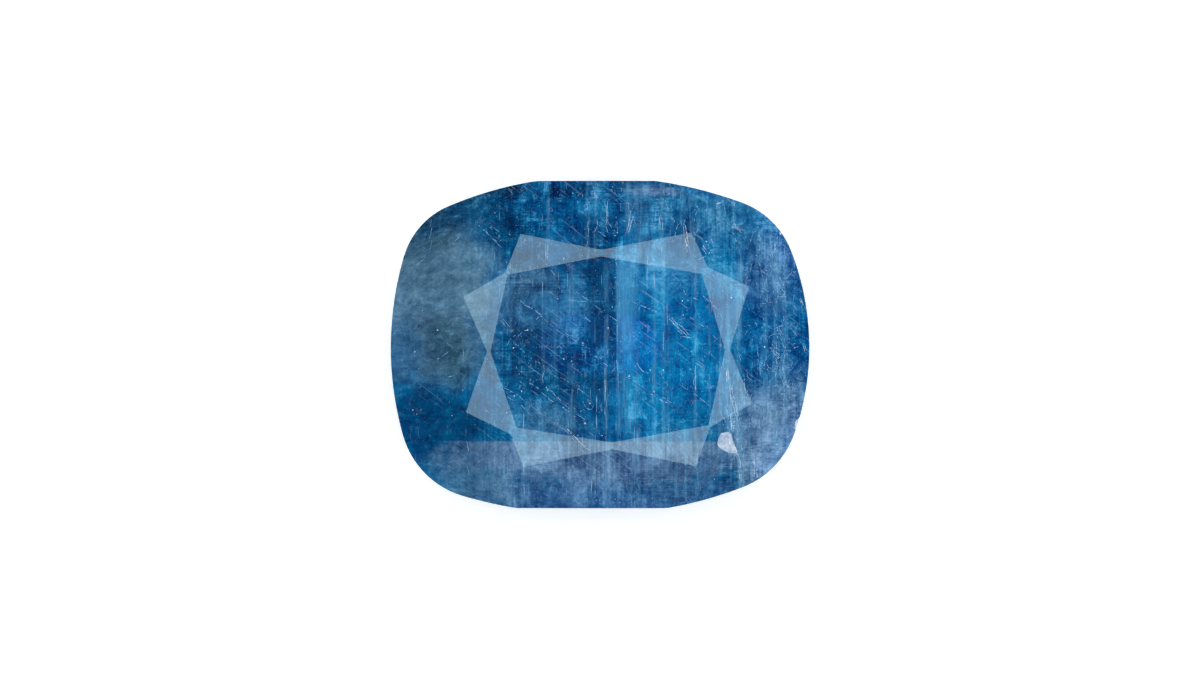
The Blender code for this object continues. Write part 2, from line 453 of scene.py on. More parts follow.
# %% How much milk there is
# Each noise: straight or drifting; turn in degrees; waves per millimetre along x, y and z;
# detail; roughness; shift; twist; gain
FIBRES = (
    ("straight", 0, (1.9, 0.12, 0.2), 5.0, 0.62, 2.0, 0.0, 2.8),
    ("straight", 0, (6.0, 0.34, 0.4), 5.0, 0.66, 9.0, 0.0, 2.8),
    ("straight", 0, (16.0, 0.8, 0.8), 4.0, 0.66, 5.0, 0.0, 3.2),
)
HATCHING = (
    ("straight", 0, (1.1, 11.0, 3.0), 4.0, 0.66, 1.0, 0.0, 3.6),
    ("straight", 0, (2.4, 26.0, 6.0), 3.0, 0.66, 8.0, 0.0, 3.6),
)
CLOUDS = (
    ("drifting", 0, (0.9, 0.7, 0.5), 9.0, 0.68, 7.0, 0.0, 5.2),
    ("drifting", 0, (3.0, 2.2, 2.0), 8.0, 0.72, 3.0, 0.35, 5.4),
    ("straight", 0, (13.0, 12.0, 9.0), 4.0, 0.75, 6.0, 0.0, 3.3),
)
LEFT_STREAKS = (
    ("drifting", 4.0, (0.5, 6.0, 2.0), 5.0, 0.66, 31.0, 0.0, 3.0),
    ("drifting", -38.0, (0.9, 6.5, 2.0), 5.0, 0.66, 33.0, 0.0, 2.4),
)
LEFT_STREAKS_X = (-4.2, -2.8)
# Each flock: waves per millimetre; shift; where the noise starts to count and where it is full
FIBRE_FLOCKS = ((0.9, 0.5, 0.5), 21.0, 0.40, 0.66)
HATCH_FLOCKS = ((0.7, 1.0, 0.5), 25.0, 0.46, 0.66)
OUTSIDE_FLOCKS = 0.2
CALM_CLOUDS = 0.2
BLOCKS_PER_MM = (1.9, 0.45, 0.3)
BLOCK_GAIN = 0.8
# The right end and the back are livelier
LIVELY_X = (3.2, 4.2)
LIVELY_Y = (2.5, 3.2)
LIVELY_GAIN = 0.3


def noise_sum(brush, here, rows):
    """Adds up noises, each less its middle and times its gain."""
    total, gains = 0.0, 0.0
    for where, turn, per_mm, detail, rough, shift, twist, gain in rows:
        place = brush.turned(here[where], turn) if turn else here[where]
        noise = brush.noise(place, per_mm, detail, rough, shift, twist)
        total = brush.put("Math", {0: noise, 1: gain, 2: total}, operation="MULTIPLY_ADD")
        gains += gain
    return brush.plus(total, -0.5 * gains)


def flocks(brush, here, per_mm, shift, low, high):
    return brush.rise(brush.noise(here["drifting"], per_mm, 3.0, shift=shift), low, high)


def milk_stops(brush, here):
    busy = here["busy"]
    fibre_flocks = brush.plus(flocks(brush, here, *FIBRE_FLOCKS), OUTSIDE_FLOCKS)
    tone = brush.plus(
        brush.times(noise_sum(brush, here, FIBRES), fibre_flocks),
        brush.times(noise_sum(brush, here, HATCHING), flocks(brush, here, *HATCH_FLOCKS)))
    blocks = brush.put("TexVoronoi", {
        "Vector": brush.put("Mapping", {"Vector": here["straight"], "Scale": BLOCKS_PER_MM}),
        "Scale": 1.0, "Randomness": 1.0}, out="Color", distance="CHEBYCHEV")
    block = brush.times(brush.plus(brush.parts(blocks)[0], -0.5), BLOCK_GAIN)
    tone = brush.times(brush.plus(tone, block), busy)
    cloudy = brush.plus(brush.times(busy, 1 - CALM_CLOUDS), CALM_CLOUDS)
    tone = brush.plus(tone, brush.times(noise_sum(brush, here, CLOUDS), cloudy))
    left_end = brush.fall(here["along"], *LEFT_STREAKS_X)
    tone = brush.plus(tone, brush.times(noise_sum(brush, here, LEFT_STREAKS), left_end))
    lively = brush.most(brush.rise(here["x"], *LIVELY_X),
                        brush.times(brush.rise(here["y"], *LIVELY_Y), busy))
    return brush.times(tone, brush.plus(brush.times(lively, LIVELY_GAIN), 1.0))


print("noises in the milk:", sum(map(len, (FIBRES, HATCHING, CLOUDS, LEFT_STREAKS))))

# %% [markdown]
# Pale bands
# Some layers of the crystal stand on edge and show as pale bands across its width. Their
# places along the length go into a colour ramp. A noise makes the bands ragged, a second one
# builds them of threads, and a third one leaves gaps.

# %% Upright pale bands and the veil beside the middle line
# Each band: where it starts, is palest and ends along the length; strength. Each group: its
# front and back end across the width.
BAND_GROUPS = (
    ((2.1, 4.9), (
        (-1.54, -1.49, -1.4, 0.4), (-0.43, -0.34, -0.29, 0.45), (-0.2, -0.11, -0.06, 0.5),
        (0.69, 0.83, 0.97, 0.6), (0.94, 1.0, 1.7, 0.35), (1.63, 1.74, 1.89, 0.5),
        (2.26, 2.4, 2.51, 0.5), (2.46, 2.51, 2.86, 0.4), (3.2, 3.26, 3.49, 0.35),
        (4.43, 4.49, 4.8, 0.35))),
    ((-2.7, 2.5), (
        (-1.69, -1.63, -1.54, 0.3), (-1.34, -1.26, -1.2, 0.25), (-0.97, -0.86, -0.66, 0.5),
        (-0.17, -0.11, -0.09, 0.4), (0.09, 0.17, 0.26, 0.45), (0.46, 0.49, 0.63, 0.6),
        (0.63, 0.66, 0.97, 0.3), (3.36, 3.43, 3.5, 0.45), (3.55, 3.63, 3.72, 0.5))),
    ((-3.4, 2.6), (
        (0.97, 1.03, 1.11, 0.4), (1.46, 1.54, 1.63, 0.35), (1.74, 1.8, 1.89, 0.4),
        (1.91, 1.94, 2.0, 0.35), (2.66, 2.71, 2.77, 0.5), (3.06, 3.11, 3.17, 0.4),
        (3.8, 3.97, 4.1, 0.6), (4.66, 4.71, 4.8, 0.4), (4.9, 5.02, 5.16, 0.5),
        (5.16, 5.26, 5.4, 0.55))),
    ((-4.6, -2.2), (
        (-2.26, -2.17, -2.06, 0.6), (-0.29, -0.2, -0.14, 0.4), (0.09, 0.17, 0.26, 0.5),
        (0.91, 1.06, 1.17, 0.85), (1.43, 1.51, 1.6, 0.4), (2.11, 2.17, 2.26, 0.6),
        (2.37, 2.43, 2.54, 0.55), (2.69, 2.77, 2.86, 0.4), (3.88, 4.03, 4.14, 0.65),
        (4.23, 4.29, 4.37, 0.4))),
)
HALF_LENGTH = 6.0
BAND_END_BLUR = 0.4
# Noises: waves per millimetre along x, y and z; detail; roughness; shift
WOBBLE_NOISE = ((2.0, 3.5, 0.5), 5.0, 0.7, 17.0)
WOBBLE_MM = 0.14
THREAD_NOISE = ((22.0, 0.9, 0.8), 4.0, 0.7, 19.0)
BETWEEN_THREADS = 0.15
GAP_NOISE = ((2.2, 0.9, 0.4), 4.0, 0.65, 23.0)
VEIL_FADE_X = (0.80, 1.20)
VEIL_START_Y = (-1.0, 0.5)
VEIL_END_Y = (2.0, 2.6)
VEIL_STRENGTH = 0.4


def band_profile(brush, along, bands):
    """How pale each band makes the crystal, read from a ramp along the stone's length."""
    share = brush.put("MapRange", {0: along, 1: -HALF_LENGTH, 2: HALF_LENGTH, 3: 0.0, 4: 1.0})
    paleness = brush.put("ValToRGB", {0: share})
    ramp = paleness.node.color_ramp
    ramp.elements[-1].color = ramp.elements[0].color
    for start, peak, end, strength in bands:
        for spot, value in ((start, 0.0), (peak, strength), (end, 0.0)):
            stop = ramp.elements.new(0.5 + 0.5 * spot / HALF_LENGTH)
            stop.color = (value, value, value, 1.0)
    return paleness


def pale_bands(brush, here, right_half):
    straight, y = here["straight"], here["y"]
    wobble = brush.plus(brush.noise(straight, *WOBBLE_NOISE), -0.5)
    wobbled = brush.plus(here["x"], brush.times(wobble, WOBBLE_MM))
    threads = brush.rise(brush.noise(straight, *THREAD_NOISE), 0.38, 0.62)
    threads = brush.plus(threads, BETWEEN_THREADS)
    gaps = brush.rise(brush.noise(straight, *GAP_NOISE), 0.38, 0.52)
    bands = 0.0
    for (low, high), group in BAND_GROUPS:
        window = brush.times(brush.rise(y, low, low + BAND_END_BLUR),
                             brush.fall(y, high - BAND_END_BLUR, high))
        bands = brush.most(brush.times(band_profile(brush, wobbled, group), window), bands)
    bands = brush.times(brush.times(bands, threads), gaps)
    veil = brush.times(right_half, brush.fall(wobbled, *VEIL_FADE_X))
    veil = brush.times(veil, brush.times(brush.rise(y, *VEIL_START_Y),
                                         brush.fall(y, *VEIL_END_Y, VEIL_STRENGTH)))
    veil = brush.times(veil, brush.plus(brush.times(threads, 0.5), 0.5))
    return brush.most(bands, veil)


print("pale bands:", sum(len(group) for _, group in BAND_GROUPS))

# %% [markdown]
# Fine silk
# Some silk is too fine and too plentiful to model, so it is painted: slanting strands in sets,
# flecks both ways, thin curls and dust of three sizes. Each kind is laid over the colour as
# with a dry brush. Then all the steps are put together, and milk makes the colour paler as well
# as lighter.

# %% Fine silk in the colour: strands, flecks, curls and dust
SLANT = 36.0
SILK_SETS = ((0.7, 0.7, 0.4), 12.0, 0.46, 0.62)
STRAND_NOISE = ((0.45, 19.0, 1.5), 3.0, 0.70, 6.5)
SILK_STRENGTH = 0.32
# Flecks: cells per millimetre; radius as a share of a cell; the draw that a fleck must pass;
# strength
SLANTED_FLECKS = ((1.5, 20.0, 2.0), 0.26, 0.92, 0.35)
UPRIGHT_FLECKS = ((22.0, 1.4, 1.4), 0.26, 0.90, 0.35)
DUST = (
    ((3.4,) * 3, 0.070, 0.80, 0.80), ((8.0,) * 3, 0.12, 0.74, 0.60),
    ((14.0,) * 3, 0.20, 0.68, 0.45),
)
# Curls: waves per millimetre; width of the line; shift; where pieces of it start to show
CURLS = ((2.0, 0.008, 15.0, 0.53), (5.5, 0.015, 16.0, 0.57))


def flecks(brush, place, per_mm, radius, keep):
    """Small pale flecks, one in each cell that is kept, long where the cells are long."""
    stretched = brush.put("Mapping", {"Vector": place, "Scale": per_mm})
    cells = brush.put("TexVoronoi", {"Vector": stretched, "Scale": 1.0}, out="Distance").node
    chosen = brush.rise(brush.parts(cells.outputs["Color"])[0], keep, keep + 0.02)
    return brush.times(brush.fall(cells.outputs["Distance"], radius * 0.5, radius), chosen)


def fine_silk(brush, here, colour):
    straight = here["straight"]

    def lay(mask, top):
        nonlocal colour
        colour = brush.blend(brush.times(mask, brush.times(here["busy"], top)), colour, SILK)

    slanted = brush.turned(straight, SLANT)
    strands = brush.rise(brush.noise(slanted, *STRAND_NOISE), 0.58, 0.70)
    lay(brush.times(strands, flocks(brush, here, *SILK_SETS)), SILK_STRENGTH)
    lay(flecks(brush, slanted, *SLANTED_FLECKS[:3]), SLANTED_FLECKS[3])
    lay(flecks(brush, straight, *UPRIGHT_FLECKS[:3]), UPRIGHT_FLECKS[3])
    # a curl is a piece of the thin line where a noise crosses its middle
    for per_mm, line, shift, low in CURLS:
        curl = brush.noise(here["drifting"], (per_mm, per_mm * 0.6, 1.2), 4.0, 0.6, shift, 0.6)
        ridge = brush.put("Math", {0: brush.plus(curl, -0.5)}, operation="ABSOLUTE")
        some = brush.noise(straight, (4.5, 3.5, 2.0), 3.0, shift=shift + 3)
        lay(brush.times(brush.fall(ridge, line * 0.2, line), brush.rise(some, low, low + 0.08)),
            SILK_STRENGTH)
    for per_mm, radius, keep, top in DUST:
        lay(flecks(brush, straight, per_mm, radius, keep), top)
    return colour


print("sizes of dust:", len(DUST))


# %% The crystal's colour
# How a stop of milk changes the colour's gamma and its light, and when milk itself shows
GAMMA_PER_STOP = -0.34
LIGHT_PER_STOP = 0.24
MILK_SHOWS = (0.6, 2.4, 0.55)


def crystal_colour(brush):
    """Growth zones, then milk, bands and fine silk."""
    here = survey(brush)
    right_half = bright_half(brush, here)
    colour = zone_colour(brush, here, right_half)
    stops = milk_stops(brush, here)
    gamma = brush.put("Math", {0: 2.0, 1: brush.times(stops, GAMMA_PER_STOP)}, operation="POWER")
    colour = brush.put("Gamma", {"Color": colour, "Gamma": gamma})
    light = brush.put("Math", {0: 2.0, 1: brush.times(stops, LIGHT_PER_STOP)}, operation="POWER")
    colour = brush.put("VectorMath", {0: colour, 3: light}, operation="SCALE")
    colour = brush.blend(brush.rise(stops, *MILK_SHOWS), colour, MILK)
    colour = brush.blend(pale_bands(brush, here, right_half), colour, VEIL)
    return fine_silk(brush, here, colour), here["straight"]


print("milk shows from", MILK_SHOWS[0], "stops up")

# %% [markdown]
# The polished facets
# Sapphire bends light strongly, with an index of 1.77, and that sets how brightly the polish
# mirrors the room. More than half of the light that enters this stone is scattered by silk
# close to the surface, and the rest goes through. So the shader is part plain transmission and
# part coloured scattering, and a plain absorption volume tints the light more the further it
# goes.

# %% Material of the polished crystal
SAPPHIRE_IOR = 1.768
CLEAR_SHARE = 0.30
ABSORB_COLOUR = (0.04, 0.48, 0.93, 1.0)
ABSORB_PER_M = 750.0
POLISH_NOISE = ((3.0, 3.0, 3.0), 5.0, 0.7)
BEST_POLISH = 0.025
POLISH_SPREAD = 0.05

crystal, brush = new_material("silky_blue_sapphire")
colour, place = crystal_colour(brush)
polish = brush.rise(brush.noise(place, *POLISH_NOISE), 0.3, 0.8, POLISH_SPREAD)
polish = brush.plus(polish, BEST_POLISH)
shader = brush.put("BsdfPrincipled", {
    "Base Color": colour, "Roughness": polish, "IOR": SAPPHIRE_IOR,
    "Transmission Weight": CLEAR_SHARE})
depth = brush.put("VolumeAbsorption", {"Color": ABSORB_COLOUR, "Density": ABSORB_PER_M})
brush.surface(shader, depth)
print(crystal.name, "has", len(crystal.node_tree.nodes), "nodes")

# %% [markdown]
# The ground girdle and the chips
# The girdle was ground and never polished, so it is frosted: the same blue under a pale, rough
# skin. A fresh chip is rougher still and looks almost white.

# %% Materials of the girdle and the chips
FROST = (0.42, 0.56, 0.74)
CHIP_WHITE = (0.74, 0.80, 0.88)
FROST_CLEAR_SHARE = 0.15

girdle_frost, brush = new_material("ground_girdle")
place = brush.place_mm()
bands = brush.noise(place, (3.0, 3.0, 1.2), 5.0, 0.65)
scuffs = brush.noise(place, (9.0, 9.0, 30.0), 4.0, 0.7)
colour = brush.blend(brush.rise(bands, 0.35, 0.7), SLATE, ROYAL)
colour = brush.blend(brush.rise(scuffs, 0.4, 0.75, 0.6), colour, FROST)
shader = brush.put("BsdfPrincipled", {
    "Base Color": colour, "Roughness": brush.plus(brush.times(scuffs, 0.3), 0.3),
    "IOR": SAPPHIRE_IOR, "Transmission Weight": FROST_CLEAR_SHARE})
brush.surface(shader, brush.put("VolumeAbsorption", {
    "Color": ABSORB_COLOUR, "Density": ABSORB_PER_M}))

chip_face, brush = new_material("chipped_sapphire")
place = brush.place_mm()
shells = brush.noise(place, (22.0, 22.0, 22.0), 4.0, 0.7)
colour = brush.blend(brush.rise(shells, 0.35, 0.7), FROST, CHIP_WHITE)
shader = brush.put("BsdfPrincipled", {
    "Base Color": colour, "Roughness": brush.plus(brush.times(shells, 0.3), 0.25),
    "IOR": SAPPHIRE_IOR})
brush.surface(shader)
print("girdle and chip materials ready")

# %% Take the chips off and give each face its finish
GIRDLE_UPRIGHT = 0.05
SMOOTH_ANGLE = radians(12)

stone.data.materials.clear()
stone.data.materials.append(crystal)
stone.data.materials.append(girdle_frost)
for face in stone.data.polygons:
    face.material_index = 1 if abs(face.normal.z) < GIRDLE_UPRIGHT else 0
chips.data.materials.clear()
chips.data.materials.append(chip_face)
chipping = stone.modifiers.new("chipping", "BOOLEAN")
chipping.operation = "DIFFERENCE"
chipping.object = chips
chipping.solver = "EXACT"
chipping.material_mode = "TRANSFER"
take(stone)
bpy.ops.object.modifier_apply(modifier="chipping")
bpy.data.objects.remove(chips)
take(stone)
bpy.ops.object.shade_smooth_by_angle(angle=SMOOTH_ANGLE)
for face in stone.data.polygons:
    face.use_smooth = abs(face.normal.z) < GIRDLE_UPRIGHT
chipped = [face for face in stone.data.polygons if face.material_index == 2]
print("faces inside the chips:", len(chipped))
finish_piece(stone, "sapphire_stone")
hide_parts(STONE_NODE)

# %% [markdown]
# Where an inclusion lies
# The inclusions are small things in the stone, seen from above through the crown. To put one at
# a place in the plan, a ray is dropped on to the stone there: where it lands is the polished
# surface, and the inclusion lies so far below it, in line with that facet.

# %% A ray that finds the surface
RAY_START = 20 * MM


def surface_at(x, y):
    """Place and normal of the crown at a point of the plan that is given in millimetres."""
    start = Vector((x * MM, y * MM, RAY_START))
    hit, place, normal, _ = stone.ray_cast(start, Vector((0, 0, -1)))
    return (place, normal) if hit else None


def seat(x, y, depth, turn=0.0):
    """A frame below the surface: its Z along the facet's normal, its X turned in plan."""
    found = surface_at(x, y)
    if found is None:
        return None
    place, normal = found
    along = Vector((cos(turn), sin(turn), 0.0))
    along = (along - normal * along.dot(normal)).normalized()
    aside = normal.cross(along)
    frame_matrix = Matrix((along, aside, normal)).transposed().to_4x4()
    frame_matrix.translation = place - normal * depth * MM
    return frame_matrix


def scatter(prototype, seats, name, material):
    """One copy of the prototype at each seat, joined to one piece."""
    copies = []
    for matrix in seats:
        copy = prototype.copy()
        copy.data = prototype.data.copy()
        bpy.context.collection.objects.link(copy)
        copy.matrix_world = matrix
        copies.append(copy)
    bpy.data.objects.remove(prototype)
    take(*copies)
    bpy.ops.object.join()
    return finish_piece(bpy.context.object, name, material)


def sized(matrix, length, width, height):
    return matrix @ Matrix.Diagonal((length, width, height, 1.0))


print("table height:", round(surface_at(0, 0)[0].z / MM, 3), "mm")

# %% [markdown]
# Materials of the inclusions
# Silk, tubes and healed cracks are white because they scatter all light. Some grains are other
# minerals: a rose-coloured one shows near the front right, and a few are rusty or dark.


# %% Materials of the inclusions
def speckled_material(name, dark, pale, per_mm, rough, gloss=0.5):
    material, brush = new_material(name)
    place = brush.place_mm()
    grain = brush.noise(place, (per_mm, per_mm, per_mm), 4.0, 0.65)
    colour = brush.blend(brush.rise(grain, 0.35, 0.68), dark, pale)
    shader = brush.put("BsdfPrincipled", {
        "Base Color": colour, "Roughness": brush.plus(brush.times(grain, 0.2), rough),
        "Specular IOR Level": gloss})
    brush.surface(shader)
    return material


DULL = 0.03
# Each material: name; dark and pale colour; grains per millimetre; roughness; gloss
silk_white = speckled_material(
    "white_silk", (0.55, 0.68, 0.86), (0.96, 0.97, 1.0), 9.0, 0.3)
silk_blue = speckled_material(
    "blue_silk", (0.14, 0.34, 0.60), (0.46, 0.60, 0.80), 6.0, 0.4)
silk_pale = speckled_material(
    "pale_silk", (0.13, 0.34, 0.62), (0.46, 0.68, 0.88), 7.0, 0.35)
rose_mineral = speckled_material(
    "rose_mineral", (0.28, 0.38, 0.56), (0.64, 0.68, 0.78), 6.0, 0.35)
rusty_mineral = speckled_material(
    "rusty_mineral", (0.10, 0.05, 0.03), (0.34, 0.20, 0.10), 20.0, 0.4, 0.2)
dark_mineral = speckled_material(
    "dark_mineral", (0.004, 0.006, 0.012), (0.03, 0.04, 0.06), 20.0, 0.5, DULL)
print("materials so far:", len(bpy.data.materials))

# %% [markdown]
# Needles
# Fine straight needles of another mineral grew in sets, most of them across the left of the
# table. Each one is seen as a broken line. One needle is a thin rod, six-sided and drawn out to
# a point at both ends. It is copied along each line in short lengths, a little out of step.

# %% One needle, one millimetre long
NEEDLE_SIDES = 6
NEEDLE_BODY = 0.6 * MM
NEEDLE_TIP = 0.2 * MM


def needle():
    put_down()
    bpy.ops.mesh.primitive_cylinder_add(
        vertices=NEEDLE_SIDES, radius=0.5 * MM, depth=NEEDLE_BODY, rotation=(0, pi / 2, 0))
    bpy.ops.object.transform_apply(location=False, rotation=True, scale=False)
    rod = bpy.context.object
    for side in (-1, 1):
        for face in rod.data.polygons:
            face.select = face.normal.x * side > 0.9
        bpy.ops.object.mode_set(mode="EDIT")
        bpy.ops.mesh.select_mode(type="FACE")
        bpy.ops.mesh.extrude_region_move(
            TRANSFORM_OT_translate={"value": (side * NEEDLE_TIP, 0, 0)})
        bpy.ops.mesh.merge(type="CENTER")
        bpy.ops.mesh.select_all(action="DESELECT")
        bpy.ops.object.mode_set(mode="OBJECT")
    return rod


# Each line: x, y, x, y and so on, in hundredths of a millimetre
NEEDLE_LINES = (
    (-157, 70, -134, 50, -111, 33, -80, 16, -51, -1, -23, -16, 9, -47, 20, -59),
    (-254, 7, -231, -4, -214, -24),
    (-180, -47, -160, -61, -143, -73, -123, -87, -94, -104, -71, -119, -40, -141, -20, -159),
    (-246, -21, -226, -39, -214, -59), (-200, -110, -177, -124, -157, -139),
    (-154, -121, -137, -133, -126, -147, -100, -170, -80, -190, -57, -204, -37, -216),
    (-163, -139, -140, -159, -114, -173, -91, -190, -69, -207, -54, -216),
    (-69, 150, -49, 136, -29, 124, -9, 107, 11, 93, 31, 79, 49, 67),
    (-226, 124, -209, 110, -191, 101, -171, 87), (-40, 76, -26, 64, -11, 53),
    (-271, -124, -254, -133, -237, -141, -217, -159), (-257, -153, -240, -164),
    (-223, -173, -209, -190, -191, -207), (-14, -33, 3, -47, 26, -64),
    (237, 90, 257, 76, 277, 64, 297, 50, 314, 36, 329, 19, 343, 1), (231, 24, 251, 19, 266, 10),
    (297, 4, 311, -4, 323, -19), (311, -24, 326, -39, 343, -53),
    (289, 141, 306, 127, 323, 110, 340, 96, 351, 73), (74, -93, 91, -101, 109, -113, 129, -127),
    (83, -124, 100, -141), (149, -130, 169, -144, 189, -156, 206, -170),
    (146, -141, 163, -150, 177, -161, 197, -167), (286, -93, 303, -107, 320, -127),
    (289, -133, 309, -144), (269, -139, 289, -156, 309, -173), (-140, 147, -123, 133, -109, 119),
    (-114, 93, -94, 76, -77, 61, -49, 44), (-346, 339, -303, 301, -263, 267),
    (-351, 350, -317, 313, -286, 281), (-331, 353, -300, 321, -277, 299),
    (-317, 344, -286, 319, -254, 293), (97, 119, 126, 107, 160, 93),
    (-371, 236, -343, 213, -314, 181), (-134, 204, -149, 224, -169, 247),
    (-86, 127, -57, 124, -34, 121),
)
NEEDLE_SEED = 11


def points_of(row):
    """The points of a traced line, in millimetres."""
    return [Vector((x / 100, y / 100)) for x, y in zip(row[::2], row[1::2])]


ROD_LENGTHS = (0.4, 1.8)
ROD_WIDTHS = (0.5, 1.4)
ROD_DEPTHS_MM = (0.0, 0.003)
ROD_TURNS = (-0.03, 0.03)


def line_seats(lines, seed, pitch, width, keep, overlap=1.0, spread=0.006):
    """Rods along each line, of uneven length and width; keep is the share that is there."""
    draw = random.Random(seed)
    seats = []
    for points in lines:
        along = draw.uniform(0.0, 0.5 * pitch)
        for start, stop in zip(points, points[1:]):
            run = stop - start
            turn = atan2(run.y, run.x)
            while along < run.length:
                length = pitch * draw.uniform(*ROD_LENGTHS)
                spot = start + run * (along / run.length)
                x = spot.x + draw.uniform(-spread, spread)
                y = spot.y + draw.uniform(-spread, spread)
                thick = width * draw.uniform(*ROD_WIDTHS)
                matrix = seat(x, y, draw.uniform(*ROD_DEPTHS_MM), turn + draw.uniform(*ROD_TURNS))
                if matrix is not None and draw.random() < keep:
                    seats.append(sized(matrix, length * overlap, thick, thick * 0.5))
                along += length
            along -= run.length
    return seats


needle_lines = [points_of(row) for row in NEEDLE_LINES]
rods = line_seats(needle_lines, NEEDLE_SEED, pitch=0.17, width=0.010, keep=0.97, overlap=1.1)
scatter(needle(), rods, "needles", silk_blue)
rods = line_seats(needle_lines, NEEDLE_SEED + 1, pitch=0.05, width=0.015, keep=0.14)
scatter(needle(), rods, "needle_ends", silk_pale)

# %% [markdown]
# Wisps
# Between the needles lie curved wisps of silk, thicker on the right end and beside the rose
# patch. Each wisp is a smooth curve through a few points, built of short rods that overlap, so
# that it swells and thins like a real thread.

# %% Wisps
# Each wisp: x, y, x, y and so on, in hundredths of a millimetre
WISPS = (
    (-171, 79, -154, 87, -134, 96, -120, 99), (-189, 56, -177, 76, -169, 84),
    (-234, 24, -214, 39, -206, 41), (-263, -1, -251, 19, -237, 27),
    (-237, -64, -231, -81, -229, -101, -217, -113), (-163, -107, -163, -90, -154, -67),
    (103, -50, 111, -64, 123, -76, 137, -81), (166, -73, 177, -90, 189, -107, 197, -121),
    (271, -59, 269, -79, 271, -90, 266, -107, 274, -130),
    (200, 76, 214, 64, 229, 53, 237, 44, 257, 41), (223, 39, 237, 27, 254, 19),
    (237, 156, 246, 141, 263, 133, 283, 127), (311, 127, 326, 110, 340, 93, 349, 70),
    (386, 350, 380, 339, 389, 330, 403, 321), (460, 210, 463, 196, 469, 176, 471, 156),
    (437, 210, 454, 210), (500, 227, 497, 210, 503, 199), (503, 299, 506, 281, 500, 267),
    (486, 270, 494, 250, 500, 230), (526, 21, 523, -1, 531, -16), (517, -50, 529, -44, 534, -39),
    (523, -61, 520, -73, 529, -90, 526, -101), (517, -104, 526, -113, 540, -119),
    (506, -144, 526, -144, 523, -164, 526, -187, 523, -216), (449, 7, 449, -21, 451, -50),
    (454, -56, 457, -79, 457, -101), (397, -30, 400, -50),
    (374, -121, 380, -144, 386, -164, 383, -187), (409, -79, 411, -116, 417, -150, 426, -173),
    (360, -173, 363, -196, 369, -216, 386, -239, 394, -261, 403, -290, 409, -316, 411, -339),
    (389, -187, 391, -216, 397, -244, 403, -273),
    (343, -193, 354, -216, 374, -239, 391, -273, 400, -301),
    (426, -307, 434, -327, 440, -347, 449, -376), (391, -267, 397, -287, 409, -301, 406, -324),
    (20, 404, 20, 379, 23, 359, 17, 344, 20, 327, 26, 313), (-11, 424, -11, 410),
    (-9, 356, -6, 339), (97, 399, 89, 376, 83, 356, 80, 333, 74, 310), (80, 404, 83, 384, 89, 376),
    (174, 367, 177, 344, 177, 327), (240, 344, 246, 321, 249, 299, 249, 270, 254, 247),
    (260, 439, 246, 424, 240, 404), (166, 279, 174, 270, 174, 259), (46, 253, 46, 236, 49, 219),
    (317, 324, 334, 339, 349, 350), (414, 179, 429, 184), (386, 170, 406, 170, 414, 161),
    (554, 139, 551, 124), (551, 113, 563, 99), (520, 164, 526, 173, 534, 167),
    (-520, 230, -494, 250), (-463, -43, -449, -33, -433, -23), (-431, -93, -414, -87),
    (-420, 290, -406, 304, -394, 313), (549, 39, 560, 27), (-34, 350, -34, 313, -37, 279),
    (-151, 279, -149, 250, -151, 224), (337, 407, 337, 396, 331, 387),
    (-100, 33, -80, 24, -66, 27), (-43, -173, -37, -181, -26, -184, -17, -173),
    (-60, -204, -54, -190, -46, -184),
)
WISP_SEED = 15
WISP_STEPS = 4


def smooth_line(points):
    """A smooth curve through the points of a line."""
    ends = [points[0], *points, points[-1]]
    smooth = []
    for before, start, stop, after in zip(ends, ends[1:], ends[2:], ends[3:]):
        for step in range(WISP_STEPS):
            t = step / WISP_STEPS
            bend = 2 * before - 5 * start + 4 * stop - after
            swing = 3 * start - before - 3 * stop + after
            smooth.append(start + 0.5 * ((stop - before) * t + bend * t ** 2 + swing * t ** 3))
    smooth.append(ends[-1])
    return smooth


wisps = [smooth_line(points_of(row)) for row in WISPS]
rods = line_seats(wisps, WISP_SEED, pitch=0.07, width=0.011, keep=0.88, overlap=1.5,
                  spread=0.009)
scatter(needle(), rods, "wisps", silk_pale)

# %% [markdown]
# Swarms of silk
# The right end and the back are full of short curls of silk, far too many to trace. They are
# drawn at random, most of them upright in the plan, inside a few boxes. The seed keeps them the
# same in each run.

# %% Silk in swarms on the right end and along the back
# Each box: lowest x, y; highest x, y; how many curls
SWARM_BOXES_MM = (
    (3.9, -2.2, 5.6, 2.6, 60), (4.95, -1.5, 5.4, 0.6, 50), (3.6, -3.6, 4.3, -1.4, 40),
    (2.6, 2.4, 4.6, 4.0, 35), (-0.8, 3.0, 2.4, 4.5, 35), (4.7, 1.2, 5.4, 2.2, 35),
)
SWARM_SEED = 61


def silk_swarm(boxes, seed):
    """Short random curls inside boxes of the plan."""
    draw = random.Random(seed)
    curls = []
    for low_x, low_y, high_x, high_y, count in boxes:
        for _ in range(count):
            spot = Vector((draw.uniform(low_x, high_x), draw.uniform(low_y, high_y)))
            turn = draw.gauss(pi / 2, 0.5)
            curl = [spot]
            for _ in range(draw.randint(2, 5)):
                turn += draw.uniform(-0.5, 0.5)
                curl.append(curl[-1] + Vector((cos(turn), sin(turn))) * draw.uniform(0.05, 0.13))
            curls.append(curl)
    return curls


swarm = silk_swarm(SWARM_BOXES_MM, SWARM_SEED)
rods = line_seats(swarm, SWARM_SEED + 1, pitch=0.06, width=0.010, keep=0.80, overlap=1.5)
scatter(needle(), rods, "silk_swarms", silk_pale)

# %% [markdown]
# Feathers and streaks
# Healed cracks show as ragged pale blades, most of them upright in the plan. One blade is a
# thin grid whose corners are pushed about and whose ends are narrowed. Each streak is a few
# blades laid over each other.

